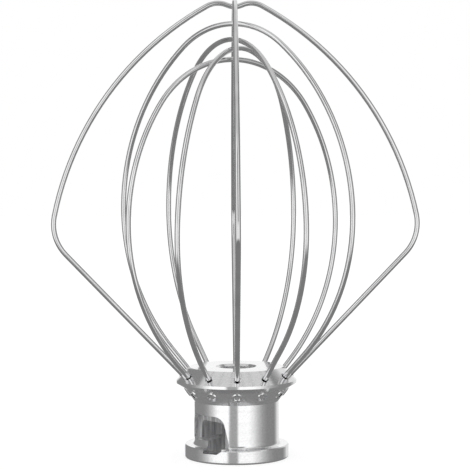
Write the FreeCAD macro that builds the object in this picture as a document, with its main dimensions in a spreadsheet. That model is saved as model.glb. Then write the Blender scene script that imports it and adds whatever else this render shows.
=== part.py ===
import FreeCAD, Part
import math
import os

import Sketcher

# A wire whip for a stand mixer, standing on its hub: a turned aluminium hub and six closed wire loops.
# Millimetres, +Z up. The origin is the centre of the hub's base, on the surface that it stands on.
# The hub's first wire hole faces the front, -Y. Angles about the axis are measured from there towards +X.

doc = FreeCAD.newDocument("WireWhip")
sheet = doc.addObject("Spreadsheet::Sheet", "Sizes")


def size(alias, value, meaning):
    """Write one driving size into the next row of the sheet and return its number."""
    size.row += 1
    sheet.set("A%d" % size.row, meaning)
    sheet.set("B%d" % size.row, str(value))
    sheet.setAlias("B%d" % size.row, alias)
    return float(value)


size.row = 0

# Hub, from the base up
base_radius = size("base_radius", 18.7, "radius of the base flange")
base_thickness = size("base_thickness", 4.9, "thickness of the base flange")
base_edge = size("base_edge", 0.7, "round on the lower edge of the base flange")
flange_edge = size("flange_edge", 0.35, "chamfer on the upper edge of the base flange")
barrel_radius = size("barrel_radius", 15.2, "radius of the barrel")
barrel_fillet = size("barrel_fillet", 1.4, "fillet between the barrel and the base flange")
barrel_height = size("barrel_height", 20.3, "height of the top of the barrel")
neck_radius = size("neck_radius", 18.8, "radius where the lower cone meets the rim's underside")
neck_height = size("neck_height", 25.1, "height where the lower cone meets the rim's underside")
rim_radius = size("rim_radius", 21.6, "radius of the rim")
rim_height = size("rim_height", 26.9, "height of the rim's lower edge")
rim_lip = size("rim_lip", 1.0, "height of the rim's lip")
top_radius = size("top_radius", 16.8, "radius of the hub's flat top")
hub_height = size("hub_height", 32.5, "height of the hub")

# Bore for the mixer's shaft
bore_radius = size("bore_radius", 6.55, "radius of the bore, for a 12.7 mm shaft")
bore_chamfer = size("bore_chamfer", 0.8, "chamfer of the bore at both ends")

# Bayonet slot for the shaft's cross pin
slot_angle = size("slot_angle", -31.5, "angle of the pin's channel")
slot_width = size("slot_width", 5.6, "width of the pin's channel")
slot_reach = size("slot_reach", 12.4, "reach of the keyhole in the base, from the axis")
notch_floor = size("notch_floor", 3.5, "height of the floor where the channel leaves through the flange")
notch_flare = size("notch_flare", 2.1, "width of the slope beside the notch")
window_angle = size("window_angle", -51.5, "angle of the middle of the window")
window_width = size("window_width", 19.4, "width of the window at its foot")
window_shoulder = size("window_shoulder", 17.4, "width of the window where its top corners start")
window_top = size("window_top", 16.2, "height of the top of the window")
window_corner = size("window_corner", 3.7, "radius of the top corners of the window")
window_depth = size("window_depth", 10.8, "distance from the axis to the window's floor")
step_start = size("step_start", 4.0, "distance from the window's middle where its lower step starts")
step_reach = size("step_reach", 10.1, "distance from the window's middle to the foot of its lower step")
ledge_height = size("ledge_height", 7.4, "height of the ledge that the locked pin rests on")
cavity_width = size("cavity_width", 12.6, "width of the opening from the window into the bore")
cavity_top = size("cavity_top", 13.6, "height of the top of the opening into the bore")
cavity_corner = size("cavity_corner", 1.8, "radius of the corners of the opening into the bore")

# Wires and their holes in the rim
wire_radius = size("wire_radius", 0.95, "radius of the wire")
wire_play = size("wire_play", 0.2, "clearance round a wire in its hole")
hole_count = size("hole_count", 12, "number of wire holes")
hole_circle = size("hole_circle", 19.55, "radius of the circle of wire holes, on the conical face")
hole_depth = size("hole_depth", 7.0, "depth of a wire hole, square to the conical face")
foot_gap = size("foot_gap", 0.15, "clearance under the end of a wire")
mouth_play = size("mouth_play", 0.5, "clearance round a wire at the mouth of its hole")
mouth_depth = size("mouth_depth", 1.3, "depth of the wider mouth of a hole")
stake_radius = size("stake_radius", 1.6, "outer radius of a ring-shaped stake mark")
stake_core = size("stake_core", 0.9, "inner radius of a ring-shaped stake mark")
stake_depth = size("stake_depth", 0.55, "depth of a stake mark")
stake_rim = size("stake_rim", 2.0, "outer radius of the metal raised around a stake mark")
stake_lift = size("stake_lift", 0.3, "height of the metal raised around a stake mark")
stake_slope = size("stake_slope", 0.2, "width of each slope of the metal raised around a stake mark")
stake_rise = size("stake_rise", 0.8, "distance of a stake mark up the cone, from the middle of the cone")

# Side loop: broad, with a dip in its crown that the front loop passes through
side_top = size("side_top", 160.8, "height of the side loop's middle line at its dip")
side_dip = size("side_dip", 6.4, "radius of the dip")
side_peak = size("side_peak", 5.9, "distance of a peak from the axis")
side_crown = size("side_crown", 8.0, "radius of a peak of the side loop")
side_shoulder = size("side_shoulder", 111, "radius of the side loop's shoulder")
side_reach = size("side_reach", 65.0, "half width of the side loop")
side_bend = size("side_bend", 15.5, "radius of the side loop's corner")

# Front loop: as broad, with a plain crown that lies on the side loop's dip
crossing_gap = size("crossing_gap", 0.1, "clearance between the two broad loops where they cross")
front_crown = size("front_crown", 11.0, "radius of the front loop's crown")
front_shoulder = size("front_shoulder", 111, "radius of the front loop's shoulder")
front_reach = size("front_reach", 65.0, "half width of the front loop")
front_bend = size("front_bend", 15.0, "radius of the front loop's corner")

# Inner loops, from the tallest to the shortest. Each hangs a drop below the side loop's crown.
first_drop = size("first_drop", 6.2, "drop of the first inner loop's crown below the side loop's")
first_turn = size("first_turn", 41.5, "angle of the first inner loop's crown on each side, in degrees")
first_reach = size("first_reach", 46.8, "half width of the first inner loop")
first_bend = size("first_bend", 71.7, "radius of the first inner loop's lower bend")
first_lean = size("first_lean", 1.3, "lean of the first inner loop, in degrees")
second_drop = size("second_drop", 11.7, "drop of the second inner loop's crown below the side loop's")
second_turn = size("second_turn", 44.3, "angle of the second inner loop's crown on each side, in degrees")
second_reach = size("second_reach", 48.0, "half width of the second inner loop")
second_bend = size("second_bend", 63.4, "radius of the second inner loop's lower bend")
second_lean = size("second_lean", 1.2, "lean of the second inner loop, in degrees")
third_drop = size("third_drop", 14.8, "drop of the third inner loop's crown below the side loop's")
third_turn = size("third_turn", 61.5, "angle of the third inner loop's crown on each side, in degrees")
third_reach = size("third_reach", 42.4, "half width of the third inner loop")
third_bend = size("third_bend", 71.5, "radius of the third inner loop's lower bend")
third_lean = size("third_lean", 1.5, "lean of the third inner loop, in degrees")
fourth_drop = size("fourth_drop", 18.7, "drop of the fourth inner loop's crown below the side loop's")
fourth_turn = size("fourth_turn", 55.5, "angle of the fourth inner loop's crown on each side, in degrees")
fourth_reach = size("fourth_reach", 43.0, "half width of the fourth inner loop")
fourth_bend = size("fourth_bend", 73.4, "radius of the fourth inner loop's lower bend")

doc.recompute()


def plane(body, role):
    """One of a body's own origin planes or axes."""
    return next(f for f in body.Origin.OriginFeatures if f.Role == role)


def new_sketch(body, name, role, angle=None, distance=None):
    """A sketch on one of a body's origin planes.

    It can be turned about its own upright by an angle of the sheet, then moved off by a distance of the sheet."""
    sketch = body.newObject("Sketcher::SketchObject", name)
    sketch.AttachmentSupport = [(plane(body, role), "")]
    sketch.MapMode = "FlatFace"
    if angle:
        turn = FreeCAD.Rotation(FreeCAD.Vector(0, 1, 0), getattr(sheet, angle))
        sketch.AttachmentOffset = FreeCAD.Placement(FreeCAD.Vector(0, 0, 0), turn)
        sketch.setExpression(".AttachmentOffset.Rotation.Angle", "Sizes.%s * 1deg" % angle)
    if distance:
        away = turn.multVec(FreeCAD.Vector(0, 0, getattr(sheet, distance)))
        sketch.AttachmentOffset = FreeCAD.Placement(away, turn)
        sketch.setExpression(".AttachmentOffset.Base.x", "Sizes.%s * sin(Sizes.%s * 1deg)" % (distance, angle))
        sketch.setExpression(".AttachmentOffset.Base.z", "Sizes.%s * cos(Sizes.%s * 1deg)" % (distance, angle))
    return sketch


def point(x, y):
    return FreeCAD.Vector(x, y, 0)


def arc_of(centre, radius, start, end):
    return Part.ArcOfCircle(Part.Circle(point(centre[0], centre[1]), FreeCAD.Vector(0, 0, 1), radius), start, end)


def angle_of(origin, target):
    return math.atan2(target[1] - origin[1], target[0] - origin[0])


def bound(sketch, name, expression, *constraint):
    """Add a named dimension whose value follows an expression of the sheet."""
    index = sketch.addConstraint(Sketcher.Constraint(*constraint))
    sketch.renameConstraint(index, name)
    sketch.setExpression("Constraints." + name, expression)


def outline(sketch, corners, name="p"):
    """Closed straight outline. Each corner is (x, y, expression for x, expression for y)."""
    count = len(corners)
    first = sketch.GeometryCount
    for i, corner in enumerate(corners):
        following = corners[(i + 1) % count]
        sketch.addGeometry(Part.LineSegment(point(corner[0], corner[1]), point(following[0], following[1])))
    for i in range(count):
        sketch.addConstraint(Sketcher.Constraint("Coincident", first + i, 2, first + (i + 1) % count, 1))
    for i, corner in enumerate(corners):
        place(sketch, "%s%d" % (name, i), first + i, 1, corner)


def place(sketch, name, geometry, vertex, corner):
    """Tie a vertex to two expressions. A coordinate of zero ties it to the sketch's own axis."""
    x, y, across, upward = corner
    if across == "0":
        sketch.addConstraint(Sketcher.Constraint("PointOnObject", geometry, vertex, -2))
    else:
        bound(sketch, name + "x", across, "DistanceX", -1, 1, geometry, vertex, x)
    if upward == "0":
        sketch.addConstraint(Sketcher.Constraint("PointOnObject", geometry, vertex, -1))
    else:
        bound(sketch, name + "y", upward, "DistanceY", -1, 1, geometry, vertex, y)


# Hub: one turned profile, then the bore, the bayonet slot and the wire holes
hub = doc.addObject("PartDesign::Body", "Hub")
hub.Label = "hub"

profile = new_sketch(hub, "HubProfile", "XZ_Plane")
outline(profile, [
    (0, 0, "0", "0"),
    (base_radius, 0, "Sizes.base_radius", "0"),
    (base_radius, base_thickness, "Sizes.base_radius", "Sizes.base_thickness"),
    (barrel_radius, base_thickness, "Sizes.barrel_radius", "Sizes.base_thickness"),
    (barrel_radius, barrel_height, "Sizes.barrel_radius", "Sizes.barrel_height"),
    (neck_radius, neck_height, "Sizes.neck_radius", "Sizes.neck_height"),
    (rim_radius, rim_height, "Sizes.rim_radius", "Sizes.rim_height"),
    (rim_radius, rim_height + rim_lip, "Sizes.rim_radius", "Sizes.rim_height + Sizes.rim_lip"),
    (top_radius, hub_height, "Sizes.top_radius", "Sizes.hub_height"),
    (0, hub_height, "0", "Sizes.hub_height"),
])
turned = hub.newObject("PartDesign::Revolution", "Turned")
turned.Profile = profile
turned.ReferenceAxis = (profile, ["V_Axis"])
turned.Angle = 360
doc.recompute()


def edges_at(shape, radius, height):
    """Names of the circular edges of a shape about the hub's axis, with this radius and height."""
    names = []
    for i, edge in enumerate(shape.Edges, 1):
        curve = edge.Curve
        if isinstance(curve, Part.Circle) and abs(curve.Radius - radius) < 1e-4 and abs(curve.Center.z - height) < 1e-4:
            if math.hypot(curve.Center.x, curve.Center.y) < 1e-4:
                names.append("Edge%d" % i)
    return names


# A round or chamfer takes no more than its share of the flange's width or thickness
FLANGE = "(Sizes.base_radius - Sizes.barrel_radius)"
foot_round = hub.newObject("PartDesign::Fillet", "FootRound")
foot_round.Base = (turned, edges_at(turned.Shape, barrel_radius, base_thickness))
foot_round.setExpression("Radius", "min(Sizes.barrel_fillet; 0.45 * %s)" % FLANGE)
doc.recompute()
base_round = hub.newObject("PartDesign::Fillet", "BaseRound")
base_round.Base = (foot_round, edges_at(foot_round.Shape, base_radius, 0))
base_round.setExpression("Radius", "min(Sizes.base_edge; 0.45 * Sizes.base_thickness)")
doc.recompute()
flange_chamfer = hub.newObject("PartDesign::Chamfer", "FlangeChamfer")
flange_chamfer.Base = (base_round, edges_at(base_round.Shape, base_radius, base_thickness))
flange_chamfer.setExpression("Size", "min(Sizes.flange_edge; 0.25 * %s)" % FLANGE)
doc.recompute()

# The bore goes right through and is chamfered at both ends
bore_sketch = new_sketch(hub, "BoreProfile", "XZ_Plane")
outline(bore_sketch, [
    (0, 0, "0", "0"),
    (bore_radius + bore_chamfer, 0, "Sizes.bore_radius + Sizes.bore_chamfer", "0"),
    (bore_radius, bore_chamfer, "Sizes.bore_radius", "Sizes.bore_chamfer"),
    (bore_radius, hub_height - bore_chamfer, "Sizes.bore_radius", "Sizes.hub_height - Sizes.bore_chamfer"),
    (bore_radius + bore_chamfer, hub_height, "Sizes.bore_radius + Sizes.bore_chamfer", "Sizes.hub_height"),
    (0, hub_height, "0", "Sizes.hub_height"),
])
bore = hub.newObject("PartDesign::Groove", "Bore")
bore.Profile = bore_sketch
bore.ReferenceAxis = (bore_sketch, ["V_Axis"])
bore.Angle = 360
doc.recompute()


def cut_outwards(name, sketch):
    """A pocket from the axis outwards, through everything on that side."""
    before = hub.Shape.Volume - 0.01
    pocket = hub.newObject("PartDesign::Pocket", name)
    pocket.Profile = sketch
    pocket.Type = "ThroughAll"
    pocket.Reversed = True
    doc.recompute()
    if not hub.Shape.Volume < before:
        raise RuntimeError(name + " cuts nothing")
    return pocket


def archway(sketch, foot, width_foot, width_top, top, corner):
    """Opening with a level foot, leaning sides and two rounded top corners, symmetric about the upright.

    Each argument is (number, expression)."""
    f, wf, wt, zt, r = foot[0], width_foot[0] / 2, width_top[0] / 2, top[0], corner[0]
    # the side leans from (wf, f) to the corner arc; the arc's centre is r inside the shoulder's width
    cx, cz = wt - r, zt - r
    dx, dz = cx - wf, cz - f
    reach = math.hypot(dx, dz)
    lean = math.atan2(dz, dx) - math.asin(r / reach)
    tx, tz = cx + r * math.sin(lean), cz - r * math.cos(lean)
    start = math.atan2(tz - cz, tx - cx)
    right = sketch.addGeometry(Part.LineSegment(point(wf, f), point(tx, tz)))
    arc_right = sketch.addGeometry(arc_of((cx, cz), r, start, math.pi / 2))
    lid = sketch.addGeometry(Part.LineSegment(point(cx, zt), point(-cx, zt)))
    arc_left = sketch.addGeometry(arc_of((-cx, cz), r, math.pi / 2, math.pi - start))
    left = sketch.addGeometry(Part.LineSegment(point(-tx, tz), point(-wf, f)))
    sill = sketch.addGeometry(Part.LineSegment(point(-wf, f), point(wf, f)))
    join = sketch.addConstraint
    join(Sketcher.Constraint("Tangent", right, 2, arc_right, 1))
    join(Sketcher.Constraint("Tangent", arc_right, 2, lid, 1))
    join(Sketcher.Constraint("Tangent", lid, 2, arc_left, 1))
    join(Sketcher.Constraint("Tangent", arc_left, 2, left, 1))
    join(Sketcher.Constraint("Coincident", left, 2, sill, 1))
    join(Sketcher.Constraint("Coincident", sill, 2, right, 1))
    join(Sketcher.Constraint("Horizontal", lid))
    join(Sketcher.Constraint("Symmetric", sill, 1, sill, 2, -2))
    join(Sketcher.Constraint("Symmetric", arc_left, 3, arc_right, 3, -2))
    bound(sketch, "foot", foot[1], "DistanceY", -1, 1, sill, 1, f)
    bound(sketch, "broad", width_foot[1], "DistanceX", sill, 1, sill, 2, 2 * wf)
    bound(sketch, "between", "%s - 2 * %s" % (width_top[1], corner[1]), "DistanceX", arc_left, 3, arc_right, 3, 2 * cx)
    bound(sketch, "high", top[1], "DistanceY", -1, 1, lid, 1, zt)
    bound(sketch, "corner", corner[1], "Radius", arc_right, r)


# The window is a bell-shaped recess in the barrel, with a flat floor beside the bore
window_sketch = new_sketch(hub, "WindowOutline", "XZ_Plane", "window_angle", "window_depth")
archway(
    window_sketch,
    (ledge_height, "Sizes.ledge_height"),
    (window_width, "Sizes.window_width"),
    (window_shoulder, "Sizes.window_shoulder"),
    (window_top, "Sizes.window_top"),
    (window_corner, "Sizes.window_corner"),
)
cut_outwards("Window", window_sketch)

# Beside the channel the window runs on down to the flange, so that the ledge stays on its other side only
step_sketch = new_sketch(hub, "StepOutline", "XZ_Plane", "window_angle", "window_depth")
outline(step_sketch, [
    (step_start, base_thickness, "Sizes.step_start", "Sizes.base_thickness"),
    (step_reach, base_thickness, "Sizes.step_reach", "Sizes.base_thickness"),
    (window_width / 2, ledge_height, "Sizes.window_width / 2", "Sizes.ledge_height"),
    (step_start, ledge_height, "Sizes.step_start", "Sizes.ledge_height"),
])
cut_outwards("Step", step_sketch)

# Inside it, the opening into the bore lets the pin swing over the ledge
cavity_sketch = new_sketch(hub, "CavityOutline", "XZ_Plane", "window_angle")
archway(
    cavity_sketch,
    (ledge_height, "Sizes.ledge_height"),
    (cavity_width, "Sizes.cavity_width"),
    (cavity_width, "Sizes.cavity_width"),
    (cavity_top, "Sizes.cavity_top"),
    (cavity_corner, "Sizes.cavity_corner"),
)
cut_outwards("Cavity", cavity_sketch)

# The channel lets the pin up from the base: out through the flange above the notch's floor
channel_sketch = new_sketch(hub, "ChannelOutline", "XZ_Plane", "slot_angle")
outline(channel_sketch, [
    (-slot_width / 2, notch_floor, "-Sizes.slot_width / 2", "Sizes.notch_floor"),
    (slot_width / 2, notch_floor, "Sizes.slot_width / 2", "Sizes.notch_floor"),
    (slot_width / 2, cavity_top - cavity_corner, "Sizes.slot_width / 2", "Sizes.cavity_top - Sizes.cavity_corner"),
    (-slot_width / 2, cavity_top - cavity_corner, "-Sizes.slot_width / 2", "Sizes.cavity_top - Sizes.cavity_corner"),
])
cut_outwards("Channel", channel_sketch)

# The flange slopes up beside the notch, on the side of the window's step
slope_sketch = new_sketch(hub, "SlopeOutline", "XZ_Plane", "slot_angle", "barrel_radius")
outline(slope_sketch, [
    (slot_width / 2, notch_floor, "Sizes.slot_width / 2", "Sizes.notch_floor"),
    (slot_width / 2 + notch_flare, base_thickness, "Sizes.slot_width / 2 + Sizes.notch_flare", "Sizes.base_thickness"),
    (slot_width / 2, base_thickness, "Sizes.slot_width / 2", "Sizes.base_thickness"),
])
cut_outwards("Slope", slope_sketch)

# Below the notch's floor the slot is a keyhole in the base, as long as the pin
keyhole_sketch = new_sketch(hub, "KeyholeOutline", "XZ_Plane", "slot_angle")
outline(keyhole_sketch, [
    (-slot_width / 2, 0, "-Sizes.slot_width / 2", "0"),
    (slot_width / 2, 0, "Sizes.slot_width / 2", "0"),
    (slot_width / 2, notch_floor, "Sizes.slot_width / 2", "Sizes.notch_floor"),
    (-slot_width / 2, notch_floor, "-Sizes.slot_width / 2", "Sizes.notch_floor"),
])
before = hub.Shape.Volume
keyhole = hub.newObject("PartDesign::Pocket", "Keyhole")
keyhole.Profile = keyhole_sketch
keyhole.Reversed = True
keyhole.setExpression("Length", "Sizes.slot_reach")
doc.recompute()
if not hub.Shape.Volume < before - 1:
    raise RuntimeError("the keyhole cuts nothing")

# A wire hole is square to the conical face and blind
DROP = "(Sizes.hub_height - Sizes.rim_height - Sizes.rim_lip)"
SPREAD = "(Sizes.rim_radius - Sizes.top_radius)"
MIDDLE_X = "Sizes.hole_circle"
MIDDLE_Y = "Sizes.hub_height - (Sizes.hole_circle - Sizes.top_radius) * %s / %s" % (DROP, SPREAD)
SLANT = "sqrt(%s * %s + %s * %s)" % (DROP, DROP, SPREAD, SPREAD)
drop = hub_height - rim_height - rim_lip
spread = rim_radius - top_radius
middle = hole_circle, hub_height - (hole_circle - top_radius) * drop / spread
slant = math.hypot(drop, spread)
# outward along the hole, and across it towards the rim
along = drop / slant, spread / slant
across = spread / slant, -drop / slant


def on_hole(distance, offset, distance_text, offset_text):
    """A point at a distance outward along the hole's axis and an offset across it, with its expressions."""
    x = middle[0] + along[0] * distance + across[0] * offset
    y = middle[1] + along[1] * distance + across[1] * offset
    ex = "%s + (%s * (%s) + %s * (%s)) / %s" % (MIDDLE_X, DROP, distance_text, SPREAD, offset_text, SLANT)
    ey = "%s + (%s * (%s) - %s * (%s)) / %s" % (MIDDLE_Y, SPREAD, distance_text, DROP, offset_text, SLANT)
    return x, y, ex, ey


def turned_cut(name, corners):
    """A groove turned about the first and last corners' line, then repeated round the hub."""
    before = hub.Shape.Volume
    sketch = new_sketch(hub, name + "Profile", "XZ_Plane")
    outline(sketch, corners)
    groove = hub.newObject("PartDesign::Groove", name)
    groove.Profile = sketch
    groove.ReferenceAxis = (sketch, ["Edge%d" % len(corners)])
    groove.Angle = 360
    doc.recompute()
    single = before - hub.Shape.Volume
    if not single > 0.5:
        raise RuntimeError(name + " cuts nothing")
    ring = hub.newObject("PartDesign::PolarPattern", name + "Ring")
    ring.Originals = [groove]
    ring.Axis = (plane(hub, "Z_Axis"), [""])
    ring.Angle = 360
    ring.setExpression("Occurrences", "Sizes.hole_count")
    hub.Tip = ring
    doc.recompute()
    return ring


hole_radius = wire_radius + wire_play
mouth_radius = wire_radius + mouth_play
HOLE = "Sizes.wire_radius + Sizes.wire_play"
MOUTH = "Sizes.wire_radius + Sizes.mouth_play"
turned_cut("WireHole", [
    on_hole(-hole_depth, 0, "-Sizes.hole_depth", "0"),
    on_hole(-hole_depth, hole_radius, "-Sizes.hole_depth", HOLE),
    on_hole(-mouth_depth, hole_radius, "-Sizes.mouth_depth", HOLE),
    on_hole(-mouth_depth, mouth_radius, "-Sizes.mouth_depth", MOUTH),
    on_hole(mouth_radius, mouth_radius, MOUTH, MOUTH),
    on_hole(mouth_radius, 0, MOUTH, "0"),
])

# Ring-shaped stake marks on the lower cone hold the wires' ends
LOW_X = "(Sizes.barrel_radius + Sizes.neck_radius) / 2"
LOW_Y = "(Sizes.barrel_height + Sizes.neck_height) / 2"
LOW_RUN = "(Sizes.neck_radius - Sizes.barrel_radius)"
LOW_RISE = "(Sizes.neck_height - Sizes.barrel_height)"
LOW_SLANT = "sqrt(%s * %s + %s * %s)" % (LOW_RUN, LOW_RUN, LOW_RISE, LOW_RISE)
low_run = neck_radius - barrel_radius
low_rise = neck_height - barrel_height
low_slant = math.hypot(low_run, low_rise)


def on_cone(depth, offset, depth_text, offset_text):
    """A point at a depth under the middle of the stake mark and an offset up the cone, with its expressions."""
    offset = stake_rise + offset
    offset_text = "Sizes.stake_rise + " + offset_text
    x = (barrel_radius + neck_radius) / 2 + (low_run * offset - low_rise * depth) / low_slant
    y = (barrel_height + neck_height) / 2 + (low_rise * offset + low_run * depth) / low_slant
    ex = "%s + (%s * (%s) - %s * (%s)) / %s" % (LOW_X, LOW_RUN, offset_text, LOW_RISE, depth_text, LOW_SLANT)
    ey = "%s + (%s * (%s) + %s * (%s)) / %s" % (LOW_Y, LOW_RISE, offset_text, LOW_RUN, depth_text, LOW_SLANT)
    return x, y, ex, ey


def stake_sketch(name, corners):
    """A sketch with a closed outline and, for its axis, the cone's normal through the stake mark's middle."""
    sketch = new_sketch(hub, name, "XZ_Plane")
    outline(sketch, corners)
    low = on_cone(-stake_depth, 0, "-Sizes.stake_depth", "0")
    high = on_cone(stake_depth, 0, "Sizes.stake_depth", "0")
    line = sketch.addGeometry(Part.LineSegment(point(low[0], low[1]), point(high[0], high[1])), True)
    place(sketch, "low", line, 1, low)
    place(sketch, "high", line, 2, high)
    return sketch


def stake_ring(name, kind, sketch):
    """A feature turned about the sketch's own axis and repeated round the hub. Returns the change of volume."""
    before = hub.Shape.Volume
    feature = hub.newObject("PartDesign::" + kind, name)
    feature.Profile = sketch
    feature.ReferenceAxis = (sketch, ["Axis0"])
    feature.Angle = 360
    doc.recompute()
    change = hub.Shape.Volume - before
    ring = hub.newObject("PartDesign::PolarPattern", name + "Ring")
    ring.Originals = [feature]
    ring.Axis = (plane(hub, "Z_Axis"), [""])
    ring.Angle = 360
    ring.setExpression("Occurrences", "Sizes.hole_count")
    hub.Tip = ring
    doc.recompute()
    return change


# The punch raises a low rim of metal around its mark
raised = stake_ring("StakeRim", "Revolution", stake_sketch("StakeRimProfile", [
    on_cone(stake_lift, stake_core, "Sizes.stake_lift", "Sizes.stake_core"),
    on_cone(-stake_lift, stake_core, "-Sizes.stake_lift", "Sizes.stake_core"),
    on_cone(-stake_lift, stake_rim - stake_slope, "-Sizes.stake_lift", "Sizes.stake_rim - Sizes.stake_slope"),
    on_cone(stake_lift, stake_rim + stake_slope, "Sizes.stake_lift", "Sizes.stake_rim + Sizes.stake_slope"),
]))
pressed = stake_ring("Stake", "Groove", stake_sketch("StakeProfile", [
    on_cone(stake_depth, stake_core, "Sizes.stake_depth", "Sizes.stake_core"),
    on_cone(-stake_depth, stake_core, "-Sizes.stake_depth", "Sizes.stake_core"),
    on_cone(-stake_depth, stake_radius, "-Sizes.stake_depth", "Sizes.stake_radius"),
    on_cone(stake_depth, stake_radius, "Sizes.stake_depth", "Sizes.stake_radius"),
]))
if not (raised > 0.1 and pressed < -0.1):
    raise RuntimeError("the stake marks are missing")


# Wires: half of each loop is drawn in its own plane, from the crown to the foot, swept and mirrored
def foot_bend(reach, bend):
    """Centre of the lower bend and the point where it touches the foot's line.

    The centre lies a radius inside the widest point and a radius from the line."""
    x = reach - bend
    y = ((x - middle[0]) * across[0] + bend) / -across[1] + middle[1]
    return (x, y), (x + bend * across[0], y + bend * across[1])


def straight_foot(path, bent, touch):
    """Straight end of a wire, from the lower bend into the hole, along the hole's own line."""
    foot = on_hole(-hole_depth + foot_gap, 0, "-Sizes.hole_depth + Sizes.foot_gap", "0")
    straight = path.addGeometry(Part.LineSegment(point(touch[0], touch[1]), point(foot[0], foot[1])))
    path.addConstraint(Sketcher.Constraint("Tangent", bent, 1, straight, 1))
    place(path, "foot", straight, 2, foot)
    mouth = on_hole(0, 0, "0", "0")
    mark = path.addGeometry(Part.Point(point(mouth[0], mouth[1])), True)
    place(path, "mouth", mark, 1, mouth)
    path.addConstraint(Sketcher.Constraint("PointOnObject", mark, 1, straight))
    return straight


def broad(path, top, crown, side, reach, bend, dip=None, peak=None):
    """Path of a broad loop: the dip, if it has one, the crown, the shoulder, the corner and the foot."""
    corner, touch = foot_bend(reach[0], bend[0])
    if dip:
        low = (0, top[0] + dip[0])
        high = (peak[0], low[1] - math.sqrt((dip[0] + crown[0]) ** 2 - peak[0] ** 2))
    else:
        high = (0, top[0] - crown[0])
    # the shoulder's circle holds the circles of the crown and of the corner, and touches both
    gap_x, gap_y = corner[0] - high[0], corner[1] - high[1]
    span = math.hypot(gap_x, gap_y)
    to_crown, to_bend = side[0] - crown[0], side[0] - bend[0]
    forward = (span * span + to_crown ** 2 - to_bend ** 2) / (2 * span)
    sideways = math.sqrt(to_crown ** 2 - forward ** 2)
    centre = (
        high[0] + (gap_x * forward + gap_y * sideways) / span,
        high[1] + (gap_y * forward - gap_x * sideways) / span,
    )
    start_side = angle_of(centre, high)
    end_side = angle_of(centre, corner)

    add = path.addGeometry
    join = path.addConstraint
    if dip:
        inward = angle_of(low, high)
        dipped = add(arc_of(low, dip[0], -math.pi / 2, inward))
        crowned = add(arc_of(high, crown[0], start_side, inward + math.pi))
    else:
        crowned = add(arc_of(high, crown[0], start_side, math.pi / 2))
    sided = add(arc_of(centre, side[0], end_side, start_side))
    bent = add(arc_of(corner, bend[0], math.atan2(across[1], across[0]), end_side))
    straight = straight_foot(path, bent, touch)
    join(Sketcher.Constraint("Tangent", crowned, 1, sided, 2))
    join(Sketcher.Constraint("Tangent", sided, 1, bent, 2))
    if dip:
        join(Sketcher.Constraint("Tangent", dipped, 2, crowned, 2))
        join(Sketcher.Constraint("PointOnObject", dipped, 3, -2))
        join(Sketcher.Constraint("PointOnObject", dipped, 1, -2))
        bound(path, "top", top[1], "DistanceY", -1, 1, dipped, 1, top[0])
        bound(path, "dip", dip[1], "Radius", dipped, dip[0])
        bound(path, "peak", peak[1], "DistanceX", -1, 1, crowned, 3, peak[0])
    else:
        join(Sketcher.Constraint("PointOnObject", crowned, 3, -2))
        join(Sketcher.Constraint("PointOnObject", crowned, 2, -2))
        bound(path, "top", top[1], "DistanceY", -1, 1, crowned, 2, top[0])
    bound(path, "crown", crown[1], "Radius", crowned, crown[0])
    bound(path, "side", side[1], "Radius", sided, side[0])
    bound(path, "bend", bend[1], "Radius", bent, bend[0])
    bound(path, "reach", "%s - %s" % (reach[1], bend[1]), "DistanceX", -1, 1, bent, 3, corner[0])
    return straight


def inner(path, top, turn, reach, bend):
    """Path of an inner loop: the crown, the side, the lower bend and the foot.

    The crown turns by an angle, the side turns the rest down to the widest point, where the bend takes over.
    Their two radii follow from the height and the width."""
    corner, touch = foot_bend(reach[0], bend[0])
    rise = top[0] - corner[1]
    s, c = math.sin(math.radians(turn[0])), math.cos(math.radians(turn[0]))
    side = (rise * s - reach[0] * (1 - c)) / (s + c - 1)
    crown = (reach[0] - side * (1 - s)) / s
    upper = math.radians(90 - turn[0])
    add = path.addGeometry
    join = path.addConstraint
    crowned = add(arc_of((0, top[0] - crown), crown, upper, math.pi / 2))
    sided = add(arc_of((reach[0] - side, corner[1]), side, 0, upper))
    bent = add(arc_of(corner, bend[0], math.atan2(across[1], across[0]), 0))
    straight = straight_foot(path, bent, touch)
    join(Sketcher.Constraint("Tangent", crowned, 1, sided, 2))
    join(Sketcher.Constraint("Tangent", sided, 1, bent, 2))
    join(Sketcher.Constraint("Horizontal", sided, 3, bent, 3))
    join(Sketcher.Constraint("PointOnObject", crowned, 3, -2))
    join(Sketcher.Constraint("PointOnObject", crowned, 2, -2))
    bound(path, "top", top[1], "DistanceY", -1, 1, crowned, 2, top[0])
    bound(path, "turn", turn[1] + " * 1deg", "Angle", crowned, math.radians(turn[0]))
    bound(path, "reach", reach[1], "DistanceX", -1, 1, sided, 1, reach[0])
    bound(path, "bend", bend[1], "Radius", bent, bend[0])
    return straight


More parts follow.
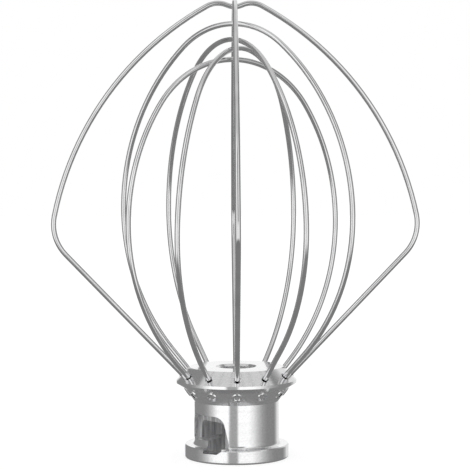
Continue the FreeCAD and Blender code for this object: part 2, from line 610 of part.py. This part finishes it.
def loop(name, label, hole, draw, top, *sizes, lean=(0.0, "0")):
    """One wire loop. Each size is (number, expression); hole is the number of the hole of its first foot.

    A loop can lean about the line through the two mouths of its holes."""
    body = doc.addObject("PartDesign::Body", name)
    body.Label = label
    path = new_sketch(body, name + "Path", "XZ_Plane")
    if lean[0]:
        tilt = FreeCAD.Rotation(FreeCAD.Vector(1, 0, 0), lean[0])
        mouth_line = point(0, middle[1])
        path.AttachmentOffset = FreeCAD.Placement(mouth_line - tilt.multVec(mouth_line), tilt)
        path.setExpression(".AttachmentOffset.Rotation.Angle", lean[1] + " * 1deg")
        path.setExpression(".AttachmentOffset.Base.y", "(%s) * (1 - cos(%s * 1deg))" % (MIDDLE_Y, lean[1]))
        path.setExpression(".AttachmentOffset.Base.z", "-(%s) * sin(%s * 1deg)" % (MIDDLE_Y, lean[1]))
    straight = draw(path, top, *sizes)

    section = new_sketch(body, name + "Section", "YZ_Plane")
    arm = top[0] - middle[1]
    angle = math.radians(lean[0])
    apex = point(-arm * math.sin(angle), middle[1] + arm * math.cos(angle))
    ring = section.addGeometry(Part.Circle(apex, FreeCAD.Vector(0, 0, 1), wire_radius))
    bound(section, "thick", "Sizes.wire_radius", "Radius", ring, wire_radius)
    if lean[0]:
        arm_text = "(%s - (%s))" % (top[1], MIDDLE_Y)
        swing = arm_text + " * sin(%s * 1deg)" % lean[1]
        rise = MIDDLE_Y + " + " + arm_text + " * cos(%s * 1deg)" % lean[1]
        place(section, "apex", ring, 3, (apex.x, apex.y, "-" + swing, rise))
    else:
        place(section, "apex", ring, 3, (0, top[0], "0", top[1]))
    doc.recompute()

    half = body.newObject("PartDesign::AdditivePipe", name + "Half")
    half.Profile = section
    half.Spine = (path, ["Edge%d" % i for i in range(1, straight + 2)])
    doc.recompute()
    whole = body.newObject("PartDesign::Mirrored", name + "Whole")
    whole.Originals = [half]
    whole.MirrorPlane = (plane(body, "YZ_Plane"), [""])
    body.Tip = whole
    doc.recompute()
    body.Placement = FreeCAD.Placement(FreeCAD.Vector(0, 0, 0), FreeCAD.Rotation(FreeCAD.Vector(0, 0, 1), 0))
    body.setExpression(".Placement.Rotation.Angle", "%d * 360deg / Sizes.hole_count - 90deg" % hole)
    doc.recompute()
    return body


def at(name):
    return getattr(sheet, name), "Sizes." + name


def below(name):
    """Height of an inner loop's crown, from the side loop's and the loop's drop."""
    return side_top - getattr(sheet, name), "(Sizes.side_top - Sizes.%s)" % name


over_dip = side_top + 2 * wire_radius + crossing_gap, "Sizes.side_top + 2 * Sizes.wire_radius + Sizes.crossing_gap"
loops = [
    loop("FrontLoop", "wire_front_loop", 0, broad, over_dip, at("front_crown"), at("front_shoulder"),
         at("front_reach"), at("front_bend")),
    loop("SideLoop", "wire_side_loop", 3, broad, at("side_top"), at("side_crown"), at("side_shoulder"),
         at("side_reach"), at("side_bend"), at("side_dip"), at("side_peak")),
    loop("FirstLoop", "wire_inner_loop_1", 2, inner, below("first_drop"), at("first_turn"),
         at("first_reach"), at("first_bend"), lean=at("first_lean")),
    loop("SecondLoop", "wire_inner_loop_2", 1, inner, below("second_drop"), at("second_turn"),
         at("second_reach"), at("second_bend"), lean=at("second_lean")),
    loop("ThirdLoop", "wire_inner_loop_3", 5, inner, below("third_drop"), at("third_turn"),
         at("third_reach"), at("third_bend"), lean=at("third_lean")),
    loop("FourthLoop", "wire_inner_loop_4", 4, inner, below("fourth_drop"), at("fourth_turn"),
         at("fourth_reach"), at("fourth_bend")),
]

doc.recompute()
for thing in doc.Objects:
    if "Invalid" in thing.State or "Error" in thing.State:
        raise RuntimeError("%s failed: %s" % (thing.Name, thing.State))
    if thing.TypeId == "Sketcher::SketchObject" and thing.solve() != 0:
        raise RuntimeError("%s can't be solved" % thing.Name)

pieces = [hub] + loops
for piece in pieces:
    if piece.Shape.isNull() or not piece.Shape.isValid():
        raise RuntimeError("%s has no valid shape" % piece.Label)
    if len(piece.Shape.Solids) != 1:
        raise RuntimeError("%s has %d solids" % (piece.Label, len(piece.Shape.Solids)))

os.makedirs("parts", exist_ok=True)
for piece in pieces:
    piece.Shape.exportStep("parts/%s.step" % piece.Label)
    box = piece.Shape.BoundBox
    print("%s volume %.1f box %.2f %.2f %.2f to %.2f %.2f %.2f" % (
        piece.Label, piece.Shape.Volume, box.XMin, box.YMin, box.ZMin, box.XMax, box.YMax, box.ZMax))
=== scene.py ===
# %% [markdown]
# A wire whip for a stand mixer: six bent wire loops that stand in a turned aluminium hub.
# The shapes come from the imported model, which is loaded first and never moved.
# This script gives them their metals, and adds a camera, a floor and a light tent.
# Everything is in metres, with the hub's base on the floor at zero height.

# %% Load the model
import math

import bmesh
import bpy
from mathutils import Matrix, Vector

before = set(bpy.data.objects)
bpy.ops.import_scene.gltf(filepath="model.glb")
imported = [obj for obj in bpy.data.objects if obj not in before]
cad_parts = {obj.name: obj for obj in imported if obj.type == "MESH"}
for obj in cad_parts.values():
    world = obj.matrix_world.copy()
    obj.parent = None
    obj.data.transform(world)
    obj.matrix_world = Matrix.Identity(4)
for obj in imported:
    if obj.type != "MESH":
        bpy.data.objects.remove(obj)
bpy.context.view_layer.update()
for name, node in sorted(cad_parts.items()):
    print(name, "has", len(node.data.vertices), "vertices and", len(node.data.polygons), "faces")

# %% [markdown]
# The camera comes first, because every later choice is judged through it.
# A wide lens close by would swell the nearest loop. A long lens further off keeps all six in proportion,
# as the photograph does, so the lens is long and its view just wide enough for the whip.

# %% Camera and lens
LENS = 127.74
SENSOR_WIDTH = 36.0
NEAREST_SEEN = 0.01

camera = bpy.data.objects.new("camera", bpy.data.cameras.new("camera"))
bpy.context.scene.collection.objects.link(camera)
bpy.context.scene.camera = camera
camera.data.lens = LENS
camera.data.sensor_width = SENSOR_WIDTH
camera.data.clip_start = NEAREST_SEEN
print("lens of", round(camera.data.lens, 2), "mm on a sensor", camera.data.sensor_width, "mm wide")

# %% [markdown]
# The camera stands about 60 cm away, a little higher than the widest part of the loops.
# It looks slightly down, and is turned so little that the front loop nearly covers its own rear arm.
# A camera can be turned by three angles in a row, or by saying where its right, its top and its back point.
# The second way is taken, because it leaves no doubt about the order of the turns.

# %% Place and direction of the camera
CAMERA_PLACE = (-0.00728, -0.59563, 0.10684)
YAW = math.radians(0.6764)
PITCH = math.radians(2.6207)
ROLL = math.radians(0.2878)

forward = Vector((math.sin(YAW) * math.cos(PITCH), math.cos(YAW) * math.cos(PITCH), -math.sin(PITCH)))
sideways = Vector((math.cos(YAW), -math.sin(YAW), 0.0))
upwards = sideways.cross(forward)
right = sideways * math.cos(ROLL) - upwards * math.sin(ROLL)
top = sideways * math.sin(ROLL) + upwards * math.cos(ROLL)
turned = Matrix((right, top, -forward)).transposed().to_4x4()
camera.matrix_world = Matrix.Translation(CAMERA_PLACE) @ turned
print("camera at", [round(v, 4) for v in camera.location], "looks along", [round(v, 4) for v in forward])

# %% [markdown]
# The picture's colours should come out as they are written, and Blender's usual view would grey the whites,
# so the view transform is Standard.

# %% View
bpy.context.scene.view_settings.view_transform = "Standard"
print("view transform", bpy.context.scene.view_settings.view_transform)


# %% [markdown]
# A material is a small graph of nodes: some say where a point is, some make patterns, and one is the shader.
# Such a graph can be drawn by hand in the editor. Written down, it comes out the same each time.
# Three helpers keep that short: one starts a material, one adds a node and feeds it, and one shows a shader.

# %% Helpers for materials
def new_material(name):
    """Start a material without nodes, and return it with its tree."""
    material = bpy.data.materials.new(name)
    material.use_nodes = True
    material.node_tree.nodes.clear()
    return material, material.node_tree


def add(tree, kind, inputs=None, **settings):
    """Add a node and return it. An input is given a plain value, or the output of another node to read."""
    node = tree.nodes.new(kind)
    for key, value in settings.items():
        setattr(node, key, value)
    for key, value in (inputs or {}).items():
        if isinstance(value, bpy.types.NodeSocket):
            tree.links.new(value, node.inputs[key])
        else:
            node.inputs[key].default_value = value
    return node


def show(tree, shader, kind="ShaderNodeOutputMaterial"):
    """Join a shader to an output node, so that the surface wears it."""
    add(tree, kind, {"Surface": shader.outputs[0]})


print("helpers", new_material.__name__, add.__name__, show.__name__)

# %% [markdown]
# The hub is turned on a lathe, so its fine tool marks are rings about its axis.
# They could be a picture wrapped round it, but a pattern worked out from the place is sharp from any side.
# Distance from the axis and height stay the same all the way round a ring,
# so a pattern that reads only these two numbers draws rings on every face.

# %% Distance from the axis and height
aluminium, tree = new_material("turned_aluminium")
place = add(tree, "ShaderNodeTexCoord").outputs["Object"]
split = add(tree, "ShaderNodeSeparateXYZ", {"Vector": place})
height = split.outputs["Z"]
across = add(tree, "ShaderNodeCombineXYZ", {"X": split.outputs["X"], "Y": split.outputs["Y"]})
length = add(tree, "ShaderNodeVectorMath", {0: across.outputs["Vector"]}, operation="LENGTH")
distance = length.outputs["Value"]
ring = add(tree, "ShaderNodeCombineXYZ", {"X": distance, "Z": height}).outputs["Vector"]
print(aluminium.name, "starts with", len(tree.nodes), "nodes")

# %% [markdown]
# Three noises carry the finish. The first is very fine and follows the rings: these are the tool marks.
# The second follows the rings too and is broader, for some rings are a little duller than others.
# The third reads the whole place, so it is an even grain, as handling and washing leave it.

# %% Noises of the hub
# Nearly all of a noise lies between these two values
NOISE_LOW, NOISE_HIGH = 0.3, 0.7


def noise(tree, where, scale, detail, roughness):
    """Add a noise that reads a place, and return its value."""
    inputs = {"Vector": where, "Scale": scale, "Detail": detail, "Roughness": roughness}
    return add(tree, "ShaderNodeTexNoise", inputs).outputs["Fac"]


marks = noise(tree, ring, scale=5200.0, detail=3.0, roughness=0.6)
bands = noise(tree, ring, scale=700.0, detail=2.0, roughness=0.5)
grain = noise(tree, place, scale=1400.0, detail=4.0, roughness=0.6)
print("noises", marks.node.name, bands.node.name, grain.node.name)

# %% [markdown]
# Inside, the hub is only milled and bored: the slot for the pin, the socket and the bore are rougher.
# Faces can be given a second material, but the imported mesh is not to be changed.
# So distance and height mark this region: the socket lies inside the barrel's wall and below its roof,
# the bore lies close to the axis, and both begin just above the underside.
# The mask is one there and nought elsewhere.

# %% Mask of the milled inside
SOCKET_RADIUS = 0.0149
SOCKET_TOP = 0.0170
BORE_RADIUS = 0.0066
UNDERSIDE = 0.0005


def reckon(tree, operation, first, second, clamp=False):
    """Work out one number from two, and return it."""
    node = add(tree, "ShaderNodeMath", {0: first, 1: second}, operation=operation, use_clamp=clamp)
    return node.outputs["Value"]


walled = reckon(tree, "LESS_THAN", distance, SOCKET_RADIUS)
roofed = reckon(tree, "LESS_THAN", height, SOCKET_TOP)
socket = reckon(tree, "MULTIPLY", walled, roofed)
bored = reckon(tree, "LESS_THAN", distance, BORE_RADIUS)
hollow = reckon(tree, "MAXIMUM", socket, bored)
raised = reckon(tree, "GREATER_THAN", height, UNDERSIDE)
milled = reckon(tree, "MULTIPLY", hollow, raised)
print("milled up to", SOCKET_TOP * 1000, "mm, and the bore all the way")

# %% [markdown]
# The cutter leaves upright streaks inside the hub.
# A noise is as wide as it is high, so the place that it reads is squeezed in height,
# which draws the noise out upwards.

# %% Streaks of the cutter
SQUEEZE = (1.0, 1.0, 0.12)

squeezed = add(tree, "ShaderNodeMapping", {"Vector": place, "Scale": SQUEEZE}).outputs["Vector"]
streaks = noise(tree, squeezed, scale=900.0, detail=3.0, roughness=0.6)
print("streaks", streaks.node.name, "about", round(1 / SQUEEZE[2]), "times as high as wide")


# %% [markdown]
# Two shaders could be laid over each other, but the export writes down one surface,
# so one shader wears both finishes. Outside, the grain varies the colour a little.
# Inside, the streaks vary it much more.
# A ramp turns each noise into its colours, and the mask chooses between the two.

# %% Colour of the hub
def two_tone(tree, value, dark, pale, low=NOISE_LOW, high=NOISE_HIGH):
    """Colour a noise: dark up to its low value, pale from its high value on, and even between them."""
    node = add(tree, "ShaderNodeValToRGB", {"Fac": value})
    first, last = node.color_ramp.elements
    first.position, first.color = low, dark
    last.position, last.color = high, pale
    return node.outputs["Color"]


# Where a Mix node keeps its two inputs and its result, for numbers and for colours
MIX_SOCKETS = {"FLOAT": (2, 3, 0), "RGBA": (6, 7, 2)}


def mixed(tree, kind, share, first, second):
    """Go from the first to the second as the share goes from nought to one, and return the result."""
    start, end, result = MIX_SOCKETS[kind]
    node = add(tree, "ShaderNodeMix", {0: share, start: first, end: second}, data_type=kind)
    return node.outputs[result]


turned_tone = two_tone(tree, grain, dark=(0.80, 0.80, 0.81, 1), pale=(0.90, 0.90, 0.905, 1))
milled_tone = two_tone(tree, streaks, dark=(0.52, 0.52, 0.53, 1), pale=(0.97, 0.97, 0.975, 1),
                       low=0.35, high=0.65)
hub_tone = mixed(tree, "RGBA", milled, turned_tone, milled_tone)
print("colours", turned_tone.node.name, milled_tone.node.name, "chosen by", hub_tone.node.name)

# %% [markdown]
# Roughness says how far a surface smears what it mirrors. The bands vary it on the turned faces.
# The inside is duller, and scatters a part of the light as chalk does, for which Metallic is lower there.

# %% Gloss of the hub
MILLED_ROUGHNESS = 0.30
MILLED_METALLIC = 0.55


def rescale(tree, value, low, high, new_low=0.0, new_high=1.0):
    """Bring a value from the range between low and high to a new range, and return it."""
    inputs = {"Value": value, "From Min": low, "From Max": high, "To Min": new_low, "To Max": new_high}
    return add(tree, "ShaderNodeMapRange", inputs).outputs["Result"]


satin = rescale(tree, bands, NOISE_LOW, NOISE_HIGH, new_low=0.09, new_high=0.15)
hub_gloss = mixed(tree, "FLOAT", milled, satin, MILLED_ROUGHNESS)
hub_metallic = rescale(tree, milled, 0.0, 1.0, new_low=1.0, new_high=MILLED_METALLIC)
print("satin outside, roughness", MILLED_ROUGHNESS, "inside")

# %% [markdown]
# Tool marks are too fine to be modelled, so bumps tilt the light on the surface instead.
# Two of them follow each other: the rings everywhere, and the cutter's streaks where the mask lets them in.

# %% Tool marks of the hub
RING_DEPTH = 0.00004
RING_STRENGTH = 0.12
STREAK_DEPTH = 0.00015
STREAK_STRENGTH = 0.5

ridges = add(tree, "ShaderNodeBump", {"Height": marks, "Strength": RING_STRENGTH, "Distance": RING_DEPTH})
cut_strength = reckon(tree, "MULTIPLY", milled, STREAK_STRENGTH)
cuts = add(tree, "ShaderNodeBump", {"Height": streaks, "Strength": cut_strength, "Distance": STREAK_DEPTH,
                                    "Normal": ridges.outputs["Normal"]})
print("bumps", ridges.name, "and", cuts.name)


# %% [markdown]
# Rings smear a reflection across themselves. The shader repeats this with its anisotropy:
# the tangent runs round the axis, and a quarter of a turn lays the smear across it.

# %% Shader of the hub
def dress(node, material):
    """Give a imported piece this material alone. Its shape stays as it is."""
    node.data.materials.clear()
    node.data.materials.append(material)


around = add(tree, "ShaderNodeTangent", direction_type="RADIAL", axis="Z")
metal = add(tree, "ShaderNodeBsdfPrincipled", {
    "Base Color": hub_tone, "Roughness": hub_gloss, "Metallic": hub_metallic,
    "Anisotropic": 0.5, "Anisotropic Rotation": 0.25,
    "Normal": cuts.outputs["Normal"], "Tangent": around.outputs["Tangent"]})
show(tree, metal)
dress(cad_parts["hub"], aluminium)
print("hub wears", aluminium.name, "of", len(tree.nodes), "nodes")

# %% [markdown]
# The loops are drawn stainless wire with a bright polish, a little darker than aluminium.
# A plain mirror would look like a drawing, so a slow noise varies the colour and dents the surface faintly,
# and a fine one varies the roughness, as drawing the wire through its die leaves it.

# %% Polished wire
DENT_DEPTH = 0.00004
DENT_STRENGTH = 0.04

steel, tree = new_material("polished_wire")
place = add(tree, "ShaderNodeTexCoord").outputs["Object"]
cloud = noise(tree, place, scale=160.0, detail=1.0, roughness=0.5)
fine = noise(tree, place, scale=2600.0, detail=2.0, roughness=0.5)
wire_tone = two_tone(tree, cloud, dark=(0.70, 0.70, 0.71, 1), pale=(0.78, 0.78, 0.785, 1))
wire_gloss = rescale(tree, fine, NOISE_LOW, NOISE_HIGH, new_low=0.07, new_high=0.11)
dents = add(tree, "ShaderNodeBump", {"Height": cloud, "Strength": DENT_STRENGTH, "Distance": DENT_DEPTH})
metal = add(tree, "ShaderNodeBsdfPrincipled", {
    "Base Color": wire_tone, "Roughness": wire_gloss, "Metallic": 1.0,
    "Normal": dents.outputs["Normal"]})
show(tree, metal)

loops = [name for name in sorted(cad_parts) if name.startswith("wire_")]
for name in loops:
    dress(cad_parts[name], steel)
print(steel.name, "of", len(tree.nodes), "nodes on", loops)

# %% [markdown]
# Polished metal shows its room, so here the room does the work of the lamps.
# The whip stands in a light tent: white cloth in front and behind, grey where it curves away at the sides,
# and a narrow gap in front, a little to the left, for the lens. The gap is the dark strip in the hub.
# Lamps and cards could make such bands too, but one cloth shaded by direction has them all in a single list.
# The direction is taken from the whip, so the shade never changes with the camera.

# %% Shade of the tent by direction
# Degrees from the front, negative to the left, and the brightness of the cloth there
TENT = [
    (-180, 1.00), (-166, 1.00), (-158, 0.26), (-100, 0.28), (-85, 0.38), (-70, 0.66), (-55, 1.12),
    (-45, 1.25), (-23, 1.25), (-17, 0.41), (0, 0.41), (5, 1.20), (32, 1.20), (45, 0.95), (60, 0.58),
    (75, 0.36), (90, 0.27), (122, 0.26), (134, 0.50), (143, 0.84), (156, 0.80), (168, 1.00), (180, 1.00),
]


def grey(value):
    """Return a plain grey of this brightness."""
    return (value, value, value, 1)


def tent_shade(tree, place):
    """Add the nodes that shade the cloth by its direction from the whip, and return the colour."""
    # The gradient runs once round, and a quarter of a turn brings both its ends to the back
    turn = add(tree, "ShaderNodeMapping", {"Vector": place, "Rotation": (0, 0, math.radians(90))})
    angle = add(tree, "ShaderNodeTexGradient", {"Vector": turn.outputs["Vector"]}, gradient_type="RADIAL")
    shade = add(tree, "ShaderNodeValToRGB", {"Fac": angle.outputs["Color"]})
    stops = shade.color_ramp.elements
    stops.remove(stops[1])
    stops[0].position = 0.0
    stops[0].color = grey(TENT[0][1])
    for azimuth, value in TENT[1:]:
        stops.new((azimuth + 180.0) / 360.0).color = grey(value)
    return shade.outputs["Color"]


shades = [value for azimuth, value in TENT]
print("tent has", len(shades), "shades from", min(shades), "to", max(shades))


# %% [markdown]
# The whip stands on a plain pale floor: one flat square, so large that its edge is far from the whip.

# %% Floor
FLOOR_HALF = 2.5


def new_object(name, bm):
    """Turn a bmesh into an object of the scene at the origin, and return it."""
    mesh = bpy.data.meshes.new(name)
    bm.to_mesh(mesh)
    bm.free()
    thing = bpy.data.objects.new(name, mesh)
    bpy.context.scene.collection.objects.link(thing)
    return thing


bm = bmesh.new()
bmesh.ops.create_grid(bm, x_segments=1, y_segments=1, size=FLOOR_HALF)
floor = new_object("floor", bm)
print("floor", tuple(round(v, 3) for v in floor.dimensions))


# %% [markdown]
# The camera sees the floor's paint, with the shadow of the hub, under a share of white light of its own,
# which keeps the shadow faint. A brighter world would do so too, but it would wash out the metal.
# The metal meets the floor by glossy rays, and looks through it at the cloth. So its upright faces
# mirror the cloth a little below the horizon, as in a real tent with a raised table.

# %% Paint of the floor
FLOOR_PAINT = 0.85
FLOOR_GLOW = 1.75
GLOW_SHARE = 0.4


def rays_of(tree, *kinds):
    """Return one for a ray of any of these kinds, and nought for the rest."""
    rays = add(tree, "ShaderNodeLightPath")
    total = rays.outputs[kinds[0]]
    for kind in kinds[1:]:
        total = reckon(tree, "ADD", total, rays.outputs[kind], clamp=True)
    return total


def overlay(tree, share, under, over):
    """Lay a share of one shader over another, and return the two as one."""
    return add(tree, "ShaderNodeMixShader", {"Fac": share, 1: under.outputs[0], 2: over.outputs[0]})


white, tree = new_material("white_floor")
paint = add(tree, "ShaderNodeBsdfDiffuse", {"Color": grey(FLOOR_PAINT)})
glow = add(tree, "ShaderNodeEmission", {"Color": grey(1.0), "Strength": FLOOR_GLOW})
share = reckon(tree, "MULTIPLY", rays_of(tree, "Is Camera Ray"), GLOW_SHARE)
lit = overlay(tree, share, paint, glow)
clear = add(tree, "ShaderNodeBsdfTransparent")
show(tree, overlay(tree, rays_of(tree, "Is Glossy Ray", "Is Transmission Ray"), lit, clear))
floor.data.materials.append(white)
print(white.name, "of", len(tree.nodes), "nodes")

# %% [markdown]
# The cloth is a tall drum around the whip, closed above and below: a cone whose two ends are equally wide.
# A real tent is a box or a dome, but a drum is equally far away all round, so only the direction counts.
# Its faces look inwards. Only mirrored rays see it, so the world lights the floor evenly from every side.

# %% Wall of the tent
TENT_RADIUS = 1.6
TENT_FOOT = -1.2
TENT_HEIGHT = 3.4
TENT_TOP = TENT_FOOT + TENT_HEIGHT
TENT_SIDES = 96

bm = bmesh.new()
middle = Matrix.Translation((0, 0, TENT_FOOT + TENT_HEIGHT / 2))
bmesh.ops.create_cone(bm, cap_ends=True, segments=TENT_SIDES, radius1=TENT_RADIUS, radius2=TENT_RADIUS,
                      depth=TENT_HEIGHT, matrix=middle)
bmesh.ops.recalc_face_normals(bm, faces=bm.faces)
bmesh.ops.reverse_faces(bm, faces=bm.faces)
wall = new_object("tent_wall", bm)
wall.visible_camera = False
wall.visible_diffuse = False
wall.visible_shadow = False
print("tent wall of", len(wall.data.polygons), "faces, up to", round(TENT_TOP, 2), "m")

# %% [markdown]
# The cloth isn't equally bright all over. Below the horizon it turns grey, as under a table.
# The wall in front grows dark above the lens, where a boom hangs, and the ceiling is lit less than the walls.
# Each is a plain grey, mixed in by height, and for the boom also by distance in front.

# %% Cloth of the tent
UNDER_GREY, UNDER_LOW, UNDER_HIGH = 0.25, -0.52, -0.30
BOOM_GREY, BOOM_LOW, BOOM_HIGH = 0.30, 0.40, 0.70
BOOM_NEAR, BOOM_FAR = -1.42, -1.52
CEILING_GREY, CEILING_DEPTH = 0.70, 0.30

tent, tree = new_material("tent_cloth")
place = add(tree, "ShaderNodeTexCoord").outputs["Object"]
split = add(tree, "ShaderNodeSeparateXYZ", {"Vector": place})
height = split.outputs["Z"]
above_table = rescale(tree, height, UNDER_LOW, UNDER_HIGH)
cloth = mixed(tree, "RGBA", above_table, grey(UNDER_GREY), tent_shade(tree, place))
in_front = rescale(tree, split.outputs["Y"], BOOM_NEAR, BOOM_FAR)
boom = reckon(tree, "MULTIPLY", in_front, rescale(tree, height, BOOM_LOW, BOOM_HIGH))
cloth = mixed(tree, "RGBA", boom, cloth, grey(BOOM_GREY))
roof = rescale(tree, height, TENT_TOP - CEILING_DEPTH, TENT_TOP)
cloth = mixed(tree, "RGBA", roof, cloth, grey(CEILING_GREY))
show(tree, add(tree, "ShaderNodeEmission", {"Color": cloth, "Strength": 1.0}))
wall.data.materials.append(tent)
print(tent.name, "of", len(tree.nodes), "nodes")

# %% [markdown]
# The world lights the floor and fills the rest of the picture.
# The camera sees it white, and so do glossy and transmitted rays, so that a mirror shows the same background.
# To all other rays it is a pale grey, so the light that falls on the floor stays soft and plain.

# %% World
ROOM_GREY = 0.72

world = bpy.data.worlds.new("white_room")
bpy.context.scene.world = world
world.use_nodes = True
tree = world.node_tree
tree.nodes.clear()
seen = rays_of(tree, "Is Camera Ray", "Is Glossy Ray", "Is Transmission Ray")
colour = mixed(tree, "RGBA", seen, grey(ROOM_GREY), grey(1.0))
show(tree, add(tree, "ShaderNodeBackground", {"Color": colour, "Strength": 1.0}), "ShaderNodeOutputWorld")
print(world.name, "of", len(tree.nodes), "nodes")
